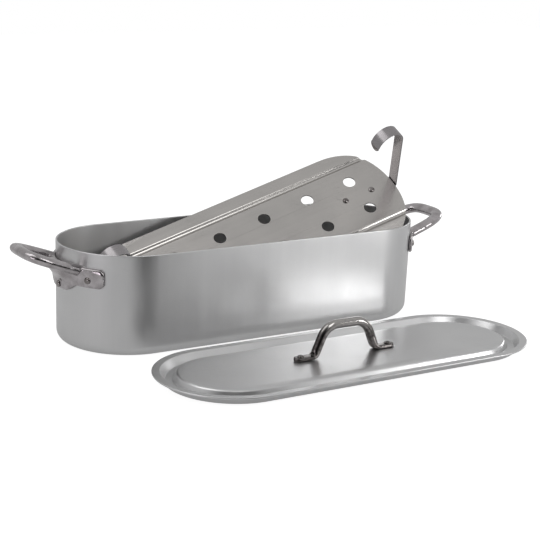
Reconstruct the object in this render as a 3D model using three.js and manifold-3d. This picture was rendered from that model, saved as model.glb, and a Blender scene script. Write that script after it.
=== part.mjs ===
// Fish poacher: a long oval pan with two cast handles, a perforated lifting rack with two hooks,
// and a flat lid with a bow handle. Millimetres, +Z up. The pan's long axis is X and its base
// stands on z = 0 with its centre at the origin. The rack leans in the pan, its right end up over
// the rim, and the lid lies on the table in front (-Y).
import * as THREE from 'three';
import { mergeVertices } from 'three/addons/utils/BufferGeometryUtils.js';
import Module from 'manifold-3d';

const wasm = await Module();
wasm.setup();

// Clearances
const SEAT = 0.3; // between a piece and what it rests on or is riveted to
const HOLE_CLEARANCE = 0.3; // between a rivet's shank and its hole, all round

// Pan
const PAN_LENGTH = 600;
const PAN_WIDTH = 210;
const PAN_HEIGHT = 150;
const PAN_WALL = 3;
const PAN_FLOOR = 3;
const PAN_DRAFT = 2; // how far the wall draws in from the rim to the base
const PAN_BASE_RADIUS = 15; // outer radius between wall and base
const END_STEPS = 28; // facets round each half-circle end
const CORNER_STEPS = 5; // facets round the base radius

// Cast pan handles, one at each end
const HANDLE_REACH = 65; // from the wall to the middle of the grip, in the loop's plane
const HANDLE_HALF_WIDTH = 43; // from the middle of the loop to the middle of a leg
const HANDLE_SQUARENESS = 3.6; // exponent of the loop's outline, where 2 is an ellipse
const HANDLE_TILT = 19.5; // degrees that the loop rises outwards
const HANDLE_BELOW_RIM = 25; // from the rim down to the root of the loop
const GRIP_WIDTH = 20;
const GRIP_THICKNESS = 15;
const PLATE_ANGLE = 46; // degrees that the base plate reaches round the end, each way
const PLATE_THICKNESS = 5;
const PLATE_TOP_BELOW_RIM = 22;
const PLATE_HEIGHT = 28;
const LOBE_DROP = 12; // how far the lobe in the middle hangs below the wings
const LOBE_ANGLE = 8; // degrees of the lobe's full depth, each way
const LOBE_BLEND = 16; // degrees over which the lobe and the web fade out
const WEB_REACH = 15; // how far the web under the loop stands out from the wall
const PLATE_EDGE = 1.6; // chamfer along the plate's edges
const WING_RIVET_ANGLE = 33;
const WING_RIVET_BELOW_RIM = 39;
const LOBE_RIVET_BELOW_RIM = 56;

// Rivets
const SHANK_RADIUS = 2.5;
const HEAD_RADIUS = 5;
const HEAD_HEIGHT = 2.8;
const TAIL_RADIUS = 4.2;
const TAIL_HEIGHT = 1.6;
const RIVET_STEPS = 14;

// Lifting rack
const RACK_SIDE_GAP = 6; // between the rack and the pan's inner wall, along each side
const RACK_END_GAP = 28; // the same at each end, where the hooks stand
const RACK_SHEET = 2;
const RACK_END_DEPTH = 80; // how deep the rounded ends are
const RACK_END_SQUARENESS = 2.2; // exponent of the ends' outline, where 2 is an ellipse
const RACK_FLAT_HALF = 58; // half the width of the flat, perforated middle
const GROOVE_WIDTH = 10;
const GROOVE_DEPTH = 3.5;
const RACK_EDGE_DROP = 8.5; // how far the outer band falls to the rack's edge
const RACK_HOLE_RADIUS = 10;
const RACK_HOLE_PITCH = 81;
const RACK_HOLE_COUNT = 6; // holes in each of the two rows
const RACK_HOLE_SHIFT = 3.5; // the rows' middle from the rack's, to the right
const RACK_ROW_SPACING = 60;
const RACK_ROLL = 34.7; // degrees that the rack rolls, its far side up
const RACK_YAW = -2.5; // degrees that the rack turns in plan
const RACK_RISE = 56; // its right end above the pan's rim
const RACK_END_INSET = 26; // its right end from the inside of the pan's end
const RACK_END_ASIDE = 16; // its right end's middle from the pan's centre line, to the front

// Rack hooks
const HOOK_WIDTH = 20;
const HOOK_SHEET = 2;
const HOOK_HEIGHT_RIGHT = 116; // from the rack up to the start of the curl
const HOOK_HEIGHT_LEFT = 108; // the same at the left end, which was bent a little lower
const HOOK_LEAN = 5; // degrees that the riser leans in over the rack
const HOOK_CURL_RADIUS = 23;
const HOOK_TAIL = 4;
const HOOK_BEND_INSIDE = 1.5; // inside radius where the tongue turns up, clear of the rack's end
const HOOK_TONGUE = 106; // length of the strip under the rack
const HOOK_RIVETS = [40, 90]; // from the rack's end

// Lid
const LID_OVERHANG = 5; // beyond the pan's rim, all round
const LID_SHEET = 2.5;
const LID_HEIGHT = 14; // of the flange above the groove's underside
const LID_FLANGE = 11;
const LID_GROOVE_SLOPE = 6.5; // how far the groove's outer wall slopes in
const LID_GROOVE = 11; // width of the groove's bottom
const LID_SHOULDER = 16; // how far the shoulder curves in from the groove
const LID_PANEL_DROP = 0.8; // the panel below the flange
const LID_GAP = 27.7; // between the pan and the lid on the table
const LID_SHIFT = 39.6; // the lid's middle along X from the pan's
const LID_YAW = 0.4;

// Lid handle
const BOW_RADIUS = 6.8;
const BOW_TOP = 46; // height of the bar's middle over the panel
const BOW_TOP_HALF = 34;
const BOW_BASE_HALF = 53;
const BOW_TOP_RADIUS = 28;
const BOW_FOOT_RADIUS = 8;
const FOOT_END = 86; // from the middle of the handle
const FOOT_ROUND = 8; // length over which a foot's end is rounded
const FOOT_END_STEPS = [FOOT_ROUND, 2.5]; // where the round is stepped, in from the end
const FOOT_HALF_WIDTH = 8;
const FOOT_HALF_THICKNESS = 2.5;
const FOOT_RIVET = 76;
const BOW_SHIFT = -6; // the handle's middle along X from the lid's

// Finishes
const SPUN_ALUMINIUM = { color: 0xb4b5b6, roughness: 0.42, metalness: 0.9 };
const RACK_ALUMINIUM = { color: 0xa5a19c, roughness: 0.34, metalness: 0.9 };
const CAST_ALUMINIUM = { color: 0xa39fa0, roughness: 0.3, metalness: 0.95 };
const DARK_STEEL = { color: 0x5d5856, roughness: 0.18, metalness: 1.0 };

const radians = THREE.MathUtils.degToRad;

// Turns an indexed or plain geometry into one with shared vertices and nothing but positions.
function weld(geometry) {
  geometry.deleteAttribute('normal');
  geometry.deleteAttribute('uv');
  return mergeVertices(geometry, 1e-4);
}

// Joins rings of points into one closed body. Each end is closed with a fan from its middle.
function loft(rings) {
  const count = rings[0].length;
  const positions = rings.flat().flatMap((p) => [p.x, p.y, p.z]);
  const sumOf = (ring) => ring.reduce((sum, p) => sum.add(p), new THREE.Vector3());
  const middle = (ring) => sumOf(ring).divideScalar(count);
  const first = middle(rings[0]);
  const last = middle(rings[rings.length - 1]);
  positions.push(first.x, first.y, first.z, last.x, last.y, last.z);
  const startMiddle = rings.length * count;
  const endRing = (rings.length - 1) * count;
  const index = [];
  for (let i = 0; i < count; i += 1) {
    const next = (i + 1) % count;
    for (let k = 0; k < rings.length - 1; k += 1) {
      const a = k * count;
      const b = a + count;
      index.push(a + i, a + next, b + next, a + i, b + next, b + i);
    }
    index.push(startMiddle, next, i);
    index.push(startMiddle + 1, endRing + i, endRing + next);
  }
  const geometry = new THREE.BufferGeometry();
  geometry.setAttribute('position', new THREE.Float32BufferAttribute(positions, 3));
  geometry.setIndex(index);
  return faceOut(geometry);
}

// Turns every face round if the body is inside out.
function faceOut(geometry) {
  const p = geometry.attributes.position;
  const index = geometry.index.array;
  const corner = (i) => new THREE.Vector3().fromBufferAttribute(p, index[i]);
  let volume = 0;
  for (let i = 0; i < index.length; i += 3) {
    volume += corner(i).dot(corner(i + 1).cross(corner(i + 2)));
  }
  if (volume < 0) {
    for (let i = 0; i < index.length; i += 3) {
      [index[i + 1], index[i + 2]] = [index[i + 2], index[i + 1]];
    }
  }
  return geometry;
}

function toSolid(geometry) {
  const welded = faceOut(weld(geometry.clone()));
  const vertProperties = new Float32Array(welded.attributes.position.array);
  const triVerts = new Uint32Array(welded.index.array);
  return new wasm.Manifold(new wasm.Mesh({ numProp: 3, vertProperties, triVerts }));
}

function fromSolid(solid) {
  const mesh = solid.getMesh();
  const geometry = new THREE.BufferGeometry();
  geometry.setAttribute('position', new THREE.Float32BufferAttribute(mesh.vertProperties, 3));
  geometry.setIndex(Array.from(mesh.triVerts));
  return geometry;
}

function cut(geometry, cutters) {
  return fromSolid(cutters.reduce((solid, c) => solid.subtract(toSolid(c)), toSolid(geometry)));
}

function piece(name, geometry, finish) {
  const mesh = new THREE.Mesh(geometry, new THREE.MeshStandardMaterial(finish));
  mesh.name = name;
  return mesh;
}

// A straight-sided oval with half-circle ends, anticlockwise seen from above.
function ovalRing(halfStraight, radius, z) {
  const ring = [];
  for (const side of [1, -1]) {
    for (let i = 0; i <= END_STEPS; i += 1) {
      const a = Math.PI * (i / END_STEPS - 0.5);
      const along = halfStraight + radius * Math.cos(a);
      ring.push(new THREE.Vector3(side * along, side * radius * Math.sin(a), z));
    }
  }
  return ring;
}

// A bar's or strip's centre line: straight runs, with an arc at each inner corner [x, z, radius].
function roundedPath(corners, arcSteps) {
  const points = [new THREE.Vector2(corners[0][0], corners[0][1])];
  for (let i = 1; i < corners.length - 1; i += 1) {
    const corner = new THREE.Vector2(corners[i][0], corners[i][1]);
    const back = new THREE.Vector2(corners[i - 1][0], corners[i - 1][1]).sub(corner).normalize();
    const on = new THREE.Vector2(corners[i + 1][0], corners[i + 1][1]).sub(corner).normalize();
    const half = Math.acos(THREE.MathUtils.clamp(back.dot(on), -1, 1)) / 2;
    const radius = corners[i][2];
    const bisector = back.clone().add(on).normalize();
    const centre = bisector.multiplyScalar(radius / Math.sin(half)).add(corner);
    const from = back.clone().multiplyScalar(radius / Math.tan(half)).add(corner).sub(centre);
    const turn = Math.PI - 2 * half;
    const side = Math.sign(back.cross(on)) * -1;
    for (let s = 0; s <= arcSteps; s += 1) {
      const angle = (side * turn * s) / arcSteps;
      points.push(from.clone().rotateAround(new THREE.Vector2(), angle).add(centre));
    }
  }
  const end = corners[corners.length - 1];
  points.push(new THREE.Vector2(end[0], end[1]));
  return points;
}

function tangentAt(points, i) {
  const a = points[Math.max(i - 1, 0)];
  const b = points[Math.min(i + 1, points.length - 1)];
  return b.clone().sub(a).normalize();
}

// Pan

const panHalfStraight = (PAN_LENGTH - PAN_WIDTH) / 2;
const draftAt = (z) => (PAN_DRAFT * (PAN_HEIGHT - z)) / PAN_HEIGHT;
const outerRadiusAt = (z) => PAN_WIDTH / 2 - draftAt(z);
const innerRadiusAt = (z) => outerRadiusAt(z) - PAN_WALL;

// Half-widths and heights down the round corner between a wall and a floor.
function cornerProfile(radiusAt, floor, cornerRadius) {
  const profile = [];
  for (let i = 0; i <= CORNER_STEPS; i += 1) {
    const a = (Math.PI / 2) * (i / CORNER_STEPS);
    const z = floor + cornerRadius * (1 - Math.cos(a));
    profile.push([radiusAt(floor + cornerRadius) - cornerRadius * (1 - Math.sin(a)), z]);
  }
  return profile;
}

function panGeometry() {
  const innerCorner = PAN_BASE_RADIUS - PAN_WALL;
  const profile = [
    ...cornerProfile(outerRadiusAt, 0, PAN_BASE_RADIUS),
    [outerRadiusAt(PAN_HEIGHT) - 0.2, PAN_HEIGHT - 1],
    [outerRadiusAt(PAN_HEIGHT) - 1, PAN_HEIGHT],
    [innerRadiusAt(PAN_HEIGHT) + 1, PAN_HEIGHT],
    [innerRadiusAt(PAN_HEIGHT) + 0.2, PAN_HEIGHT - 1],
    ...cornerProfile(innerRadiusAt, PAN_FLOOR, innerCorner).reverse(),
  ];
  return loft(profile.map(([radius, z]) => ovalRing(panHalfStraight, radius, z)));
}

// Where the rivets of the right handle sit: degrees round the end, and height.
const handleRivets = [
  { place: 'near', angle: -WING_RIVET_ANGLE, z: PAN_HEIGHT - WING_RIVET_BELOW_RIM },
  { place: 'middle', angle: 0, z: PAN_HEIGHT - LOBE_RIVET_BELOW_RIM },
  { place: 'far', angle: WING_RIVET_ANGLE, z: PAN_HEIGHT - WING_RIVET_BELOW_RIM },
];

// A frame on the right end's wall, its X axis pointing straight out of the wall.
function wallFrame(angle, radius, z) {
  const a = radians(angle);
  const matrix = new THREE.Matrix4().makeRotationZ(a);
  return matrix.setPosition(panHalfStraight + radius * Math.cos(a), radius * Math.sin(a), z);
}

function rivetHoleCutter(frame, length) {
  const radius = SHANK_RADIUS + HOLE_CLEARANCE;
  const cylinder = new THREE.CylinderGeometry(radius, radius, length, RIVET_STEPS);
  return cylinder.rotateZ(-Math.PI / 2).applyMatrix4(frame);
}

function handleHoles() {
  const length = 4 * (PLATE_THICKNESS + PAN_WALL);
  return handleRivets.map(({ angle, z }) => {
    const frame = wallFrame(angle, outerRadiusAt(z), z);
    return rivetHoleCutter(frame, length);
  });
}

const turnedRound = (geometry) => geometry.clone().rotateZ(Math.PI);

// Cast handle: a plate that hugs the wall, a web in the middle of it and the loop that it carries.

const smooth = (x) => THREE.MathUtils.smoothstep(x, 0, 1);

// How much of the lobe and web there is at an angle from the middle, from 1 down to 0.
const middleShare = (angle) => 1 - smooth((Math.abs(angle) - LOBE_ANGLE) / LOBE_BLEND);

function plateSection(angle) {
  const share = middleShare(angle);
  const cornerShare = smooth((PLATE_ANGLE - Math.abs(angle)) / 3);
  const top = PAN_HEIGHT - PLATE_TOP_BELOW_RIM - (1 - cornerShare) * 4;
  const wingBottom = PAN_HEIGHT - PLATE_TOP_BELOW_RIM - PLATE_HEIGHT + (1 - cornerShare) * 4;
  const bottom = wingBottom - share * LOBE_DROP;
  const face = PLATE_THICKNESS;
  const reach = face + share * (WEB_REACH - face);
  const webFoot = PAN_HEIGHT - LOBE_RIVET_BELOW_RIM + HEAD_RADIUS + 2;
  const points = [
    [0, bottom],
    [face - PLATE_EDGE, bottom],
    [face, bottom + PLATE_EDGE],
    [face, Math.max(webFoot, bottom + PLATE_EDGE + 1)],
    [face + (reach - face) * 0.35, webFoot + 6],
    [face + (reach - face) * 0.8, webFoot + 12],
    [reach, top - PLATE_EDGE - 3],
    [reach - PLATE_EDGE, top],
    [0, top],
  ];
  const a = radians(angle);
  return points.map(([out, z]) => {
    const radius = outerRadiusAt(z) + SEAT + out;
    return new THREE.Vector3(panHalfStraight + radius * Math.cos(a), radius * Math.sin(a), z);
  });
}

function plateGeometry() {
  const step = 2.3;
  const count = Math.round((2 * PLATE_ANGLE) / step);
  const rings = [];
  for (let i = 0; i <= count; i += 1) {
    rings.push(plateSection(-PLATE_ANGLE + (2 * PLATE_ANGLE * i) / count));
  }
  return loft(rings);
}

// The loop's centre line lies in a plane that rises outwards from the root.
function loopGeometry() {
  const steps = 26;
  const sides = 12;
  const tilt = radians(HANDLE_TILT);
  const rootInside = 6;
  const power = 2 / HANDLE_SQUARENESS;
  const centre = [];
  for (let i = 0; i <= steps; i += 1) {
    const a = Math.PI * (i / steps);
    const out = HANDLE_REACH * Math.max(Math.sin(a), 0) ** power;
    const across = HANDLE_HALF_WIDTH * Math.sign(Math.cos(a)) * Math.abs(Math.cos(a)) ** power;
    centre.push(new THREE.Vector2(out, -across));
  }
  centre.unshift(new THREE.Vector2(-rootInside, -HANDLE_HALF_WIDTH));
  centre.push(new THREE.Vector2(-rootInside, HANDLE_HALF_WIDTH));
  const rise = new THREE.Vector3(-Math.sin(tilt), 0, Math.cos(tilt));
  return loft(centre.map((point, i) => {
    const tangent = tangentAt(centre, i);
    const ring = [];
    for (let s = 0; s < sides; s += 1) {
      const a = (2 * Math.PI * s) / sides;
      const inPlane = (GRIP_WIDTH / 2) * Math.cos(a);
      const out = point.x + tangent.y * inPlane;
      const across = point.y - tangent.x * inPlane;
      const height = PAN_HEIGHT - HANDLE_BELOW_RIM + out * Math.sin(tilt);
      const base = new THREE.Vector3(PAN_LENGTH / 2 + out * Math.cos(tilt), across, height);
      ring.push(base.addScaledVector(rise, (GRIP_THICKNESS / 2) * Math.sin(a)));
    }
    return ring;
  }));
}

// What the handle must stay clear of: the outside of the pan, with the seat's clearance.
function panEnvelope() {
  const margin = 20;
  const heights = [-margin, PAN_HEIGHT + margin];
  return loft(heights.map((z) => ovalRing(panHalfStraight, outerRadiusAt(z) + SEAT, z)));
}

function handleGeometry() {
  const casting = toSolid(plateGeometry()).add(toSolid(loopGeometry()));
  return cut(fromSolid(casting.subtract(toSolid(panEnvelope()))), handleHoles());
}

// Rivets: a domed head outside, a shank and a flat tail. The head's seat is at the origin and
// the shank points along -X.
function rivetGeometry(grip) {
  const profile = [
    [0, -grip - SEAT - TAIL_HEIGHT],
    [TAIL_RADIUS - 0.8, -grip - SEAT - TAIL_HEIGHT],
    [TAIL_RADIUS, -grip - SEAT - TAIL_HEIGHT / 2],
    [TAIL_RADIUS, -grip - SEAT],
    [SHANK_RADIUS, -grip - SEAT],
    [SHANK_RADIUS, SEAT],
    [HEAD_RADIUS, SEAT],
  ];
  const domeSteps = 4;
  for (let i = 1; i <= domeSteps; i += 1) {
    const a = (Math.PI / 2) * (i / domeSteps);
    profile.push([i === domeSteps ? 0 : HEAD_RADIUS * Math.cos(a), SEAT + HEAD_HEIGHT * Math.sin(a)]);
  }
  const points = profile.map(([radius, along]) => new THREE.Vector2(radius, along));
  return faceOut(weld(new THREE.LatheGeometry(points, RIVET_STEPS).rotateZ(-Math.PI / 2)));
}

function rivet(name, grip, finish) {
  return piece(name, rivetGeometry(grip), finish);
}

const pan = new THREE.Group();
const rightHoles = handleHoles();
const bothEndsHoles = [...rightHoles, ...rightHoles.map(turnedRound)];
pan.add(piece('pan_body', cut(panGeometry(), bothEndsHoles), SPUN_ALUMINIUM));

const handleGrip = PLATE_THICKNESS + SEAT + PAN_WALL;
for (const side of ['right', 'left']) {
  const end = new THREE.Group();
  end.rotation.z = side === 'left' ? Math.PI : 0;
  end.add(piece(`${side}_handle`, handleGeometry(), CAST_ALUMINIUM));
  for (const { place, angle, z } of handleRivets) {
    const name = side === 'left' && place !== 'middle' ? { near: 'far', far: 'near' }[place] : place;
    const one = rivet(`${side}_handle_rivet_${name}`, handleGrip, CAST_ALUMINIUM);
    const matrix = wallFrame(angle, outerRadiusAt(z) + SEAT + PLATE_THICKNESS, z);
    one.position.setFromMatrixPosition(matrix);
    one.rotation.z = radians(angle);
    end.add(one);
  }
  pan.add(end);
}

// Lifting rack, in its own frame: +X to its right end, top of the flat middle at z = 0.

const rackLength = PAN_LENGTH - 2 * (PAN_WALL + RACK_END_GAP);
const rackHalfWidth = PAN_WIDTH / 2 - PAN_WALL - RACK_SIDE_GAP;

// The top of the sheet at a distance from the rack's centre line.
function rackTop(y) {
  const grooveEnd = RACK_FLAT_HALF + GROOVE_WIDTH;
  const across = Math.abs(y);
  if (across <= RACK_FLAT_HALF) {
    return 0;
  }
  if (across < grooveEnd) {
    return -GROOVE_DEPTH * Math.sin((Math.PI * (across - RACK_FLAT_HALF)) / GROOVE_WIDTH);
  }
  const share = (across - grooveEnd) / (rackHalfWidth - grooveEnd);
  return -RACK_EDGE_DROP * share ** 1.4;
}

function rackOutline() {
  const straight = rackLength / 2 - RACK_END_DEPTH;
  const power = 2 / RACK_END_SQUARENESS;
  const points = [];
  for (const side of [1, -1]) {
    for (let i = 0; i <= END_STEPS; i += 1) {
      const a = Math.PI * (i / END_STEPS - 0.5);
      const along = straight + RACK_END_DEPTH * Math.max(Math.cos(a), 0) ** power;
      const across = rackHalfWidth * Math.sign(a) * Math.abs(Math.sin(a)) ** power;
      points.push(new THREE.Vector2(side * along, side * across));
    }
  }
  return points;
}

function rackStops() {
  const grooveSteps = 6;
  const bandSteps = 3;
  const grooveEnd = RACK_FLAT_HALF + GROOVE_WIDTH;
  const half = [RACK_FLAT_HALF];
  for (let i = 1; i <= grooveSteps; i += 1) {
    half.push(RACK_FLAT_HALF + (GROOVE_WIDTH * i) / grooveSteps);
  }
  for (let i = 1; i <= bandSteps; i += 1) {
    half.push(grooveEnd + ((rackHalfWidth - grooveEnd + 1) * i) / bandSteps);
  }
  return [...half.map((y) => -y).reverse(), ...half];
}

function rackGeometry() {
  const stops = rackStops();
  const section = new THREE.Shape([
    ...stops.map((y) => new THREE.Vector2(y, rackTop(y))).reverse(),
    ...stops.map((y) => new THREE.Vector2(y, rackTop(y) - RACK_SHEET)),
  ]);
  const bar = new THREE.ExtrudeGeometry(section, { depth: rackLength + 2, bevelEnabled: false });
  bar.translate(0, 0, -rackLength / 2 - 1).rotateX(Math.PI / 2).rotateZ(Math.PI / 2);
  const deep = 2 * (GROOVE_DEPTH + RACK_EDGE_DROP + RACK_SHEET);
  const outline = new THREE.Shape(rackOutline());
  const blank = new THREE.ExtrudeGeometry(outline, { depth: 2 * deep, bevelEnabled: false });
  blank.translate(0, 0, -deep);
  const cutters = [];
  for (let i = 0; i < RACK_HOLE_COUNT; i += 1) {
    for (const side of [1, -1]) {
      const hole = new THREE.CylinderGeometry(RACK_HOLE_RADIUS, RACK_HOLE_RADIUS, 4 * RACK_SHEET, 24);
      hole.rotateX(Math.PI / 2);
      const along = RACK_HOLE_SHIFT + RACK_HOLE_PITCH * (i - (RACK_HOLE_COUNT - 1) / 2);
      cutters.push(hole.translate(along, (side * RACK_ROW_SPACING) / 2, -RACK_SHEET / 2));
    }
  }
  for (const side of [1, -1]) {
    cutters.push(...hookHoles(side));
  }
  return cut(fromSolid(toSolid(bar).intersect(toSolid(blank))), cutters);
}

// Rivet holes through the rack and a hook's tongue, at one end.
function hookHoles(side) {
  return HOOK_RIVETS.map((inset) => {
    const matrix = new THREE.Matrix4().makeRotationY(-Math.PI / 2);
    matrix.setPosition(side * (rackLength / 2 - inset), 0, -RACK_SHEET);
    return rivetHoleCutter(matrix, 4 * (RACK_SHEET + HOOK_SHEET));
  });
}

// A hook, as a strip bent in the XZ plane: tongue under the rack, riser, and a curl back inwards.
function hookGeometry(hookHeight) {
  const tongue = -RACK_SHEET - SEAT - HOOK_SHEET / 2;
  const riser = rackLength / 2 + HOOK_BEND_INSIDE + HOOK_SHEET / 2;
  const up = new THREE.Vector2(-Math.sin(radians(HOOK_LEAN)), Math.cos(radians(HOOK_LEAN)));
  const inward = new THREE.Vector2(-up.y, up.x);
  const foot = new THREE.Vector2(riser, tongue);
  const at = (height, inset) => {
    return foot.clone().addScaledVector(up, height).addScaledVector(inward, inset).toArray();
  };
  const curlTop = hookHeight + HOOK_CURL_RADIUS;
  const curlWidth = 2 * HOOK_CURL_RADIUS;
  const tipHeight = hookHeight - HOOK_TAIL;
  const centre = roundedPath([
    [rackLength / 2 - HOOK_TONGUE, tongue],
    [riser, tongue, HOOK_BEND_INSIDE + HOOK_SHEET / 2],
    [...at(curlTop, 0), HOOK_CURL_RADIUS - 0.01],
    [...at(curlTop, curlWidth), HOOK_CURL_RADIUS - 0.01],
    at(tipHeight, curlWidth),
  ], 8);
  const side = (sign) => centre.map((p, i) => {
    const tangent = tangentAt(centre, i);
    const half = (sign * HOOK_SHEET) / 2;
    return new THREE.Vector2(p.x - tangent.y * half, p.y + tangent.x * half);
  });
  const shape = new THREE.Shape([...side(1), ...side(-1).reverse()]);
  const strip = new THREE.ExtrudeGeometry(shape, { depth: HOOK_WIDTH, bevelEnabled: false });
  strip.translate(0, 0, -HOOK_WIDTH / 2).rotateX(Math.PI / 2);
  const tip = roundTipCutter().rotateY(Math.PI / 2 - radians(HOOK_LEAN));
  const [tipX, tipZ] = at(tipHeight, curlWidth + HOOK_SHEET);
  tip.translate(tipX, 0, tipZ);
  const tongueEnd = roundTipCutter().rotateZ(Math.PI);
  tongueEnd.rotateX(Math.PI);
  tongueEnd.translate(rackLength / 2 - HOOK_TONGUE, 0, tongue + HOOK_SHEET);
  return cut(strip, [tip, tongueEnd, ...hookHoles(1)]);
}

// What is cut off a strip's square end, at x = 0 with the strip towards -X, to leave it round.
function roundTipCutter() {
  const half = HOOK_WIDTH / 2;
  const shape = new THREE.Shape();
  shape.moveTo(-half, -half - 1);
  shape.lineTo(2, -half - 1);
  shape.lineTo(2, half + 1);
  shape.lineTo(-half, half + 1);
  shape.lineTo(-half, half);
  shape.absarc(-half, 0, half, Math.PI / 2, -Math.PI / 2, true);
  const settings = { depth: 2 * HOOK_SHEET, bevelEnabled: false, curveSegments: 10 };
  return new THREE.ExtrudeGeometry(shape, settings);
}

const rack = new THREE.Group();
rack.add(piece('rack_plate', rackGeometry(), RACK_ALUMINIUM));
for (const side of ['right', 'left']) {
  const end = new THREE.Group();
  end.rotation.z = side === 'left' ? Math.PI : 0;
  const height = side === 'left' ? HOOK_HEIGHT_LEFT : HOOK_HEIGHT_RIGHT;
  end.add(piece(`${side}_hook`, hookGeometry(height), RACK_ALUMINIUM));
  HOOK_RIVETS.forEach((inset, i) => {
    const name = `${side}_hook_rivet_${i === 0 ? 'outer' : 'inner'}`;
    const one = rivet(name, RACK_SHEET + SEAT + HOOK_SHEET, RACK_ALUMINIUM);
    one.position.set(rackLength / 2 - inset, 0, 0);
    one.rotation.y = -Math.PI / 2;
    end.add(one);
  });
  rack.add(end);
}

// The rack leans in the pan: the near corner of its left end stands on the floor, and its right
// end is up over the rim.

function rackTurn(tilt) {
  const yaw = new THREE.Matrix4().makeRotationZ(radians(RACK_YAW));
  const pitch = new THREE.Matrix4().makeRotationY(-tilt);
  const roll = new THREE.Matrix4().makeRotationX(radians(RACK_ROLL));
  return yaw.multiply(pitch).multiply(roll);
}

// Points round the rack's edge, on the underside and the top.
const rackEdge = rackOutline().flatMap(({ x, y }) => [
  new THREE.Vector3(x, y, rackTop(y) - RACK_SHEET),
  new THREE.Vector3(x, y, rackTop(y)),
]);
const rackEnd = new THREE.Vector3(rackLength / 2, 0, 0);
const lowestAt = (turn) => Math.min(...rackEdge.map((p) => p.clone().applyMatrix4(turn).z));

// Halves a range until the test's turning point is found.
function turningPoint(low, high, isBelow) {
  for (let i = 0; i < 50; i += 1) {
    const middle = (low + high) / 2;
    if (isBelow(middle)) {
      low = middle;
    } else {
      high = middle;
    }
  }
  return (low + high) / 2;
}

function placeRack(group) {
  const wantedHeight = PAN_HEIGHT + RACK_RISE - PAN_FLOOR - SEAT;
  const tilt = turningPoint(0, Math.PI / 3, (angle) => {
    const turn = rackTurn(angle);
    return rackEnd.clone().applyMatrix4(turn).z - lowestAt(turn) < wantedHeight;
  });
  const turn = rackTurn(tilt);
  const end = rackEnd.clone().applyMatrix4(turn);
  const x = PAN_LENGTH / 2 - PAN_WALL - RACK_END_INSET - end.x;
  group.setRotationFromMatrix(turn);
  group.position.set(x, -RACK_END_ASIDE - end.y, PAN_FLOOR + SEAT - lowestAt(turn));
}
placeRack(rack);

// Lid, in its own frame: underside of the groove at z = 0.

const lidHalfWidth = PAN_WIDTH / 2 + LID_OVERHANG;
const panelTop = LID_HEIGHT - LID_PANEL_DROP;

// Distances in from the lid's edge and heights, along the top and then the underside.
function lidProfiles() {
  const slopeEnd = LID_FLANGE + 1.5 + LID_GROOVE_SLOPE;
  const grooveEnd = slopeEnd + LID_GROOVE - 2;
  const rise = panelTop - LID_SHEET;
  const shoulder = [
    [0.14, 0.1],
    [0.34, 0.62],
    [0.5, 0.86],
    [0.72, 0.96],
    [1, 1],
  ];
  const top = [
    [0.3, LID_HEIGHT - 0.3],
    [0.8, LID_HEIGHT],
    [LID_FLANGE, LID_HEIGHT],
    [LID_FLANGE + 1.5, LID_HEIGHT - 1.4],
    [slopeEnd - 1.5, LID_SHEET + 1.4],
    [slopeEnd, LID_SHEET],
    [grooveEnd, LID_SHEET],
    ...shoulder.map(([along, up]) => [grooveEnd + LID_SHOULDER * along, LID_SHEET + rise * up]),
  ];
  const under = [
    [0.3, LID_HEIGHT - LID_SHEET + 0.3],
    [0.8, LID_HEIGHT - LID_SHEET],
    [LID_FLANGE - 1.6, LID_HEIGHT - LID_SHEET],
    [LID_FLANGE - 0.4, LID_HEIGHT - LID_SHEET - 1.2],
    [slopeEnd - 3.4, 1.2],
    [slopeEnd - 2, 0],
    [grooveEnd + 2, 0],
    ...shoulder.map(([along, up]) => [grooveEnd + 2.4 + LID_SHOULDER * along, rise * up]),
  ];
  return { top, under };
}

const bowRivets = [-FOOT_RIVET, FOOT_RIVET];

function lidHoles() {
  return bowRivets.map((x) => {
    const matrix = new THREE.Matrix4().makeRotationY(-Math.PI / 2);
    matrix.setPosition(BOW_SHIFT + x, 0, panelTop);
    return rivetHoleCutter(matrix, 6 * (LID_SHEET + FOOT_HALF_THICKNESS));
  });
}

function lidGeometry() {
  const { top, under } = lidProfiles();
  const edge = [[0, LID_HEIGHT - LID_SHEET + 0.8], [0, LID_HEIGHT - 0.8]];
  const profile = [...under.reverse(), ...edge, ...top];
  const rings = profile.map(([inset, z]) => ovalRing(panHalfStraight, lidHalfWidth - inset, z));
  return cut(loft(rings), lidHoles());
}

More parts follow.
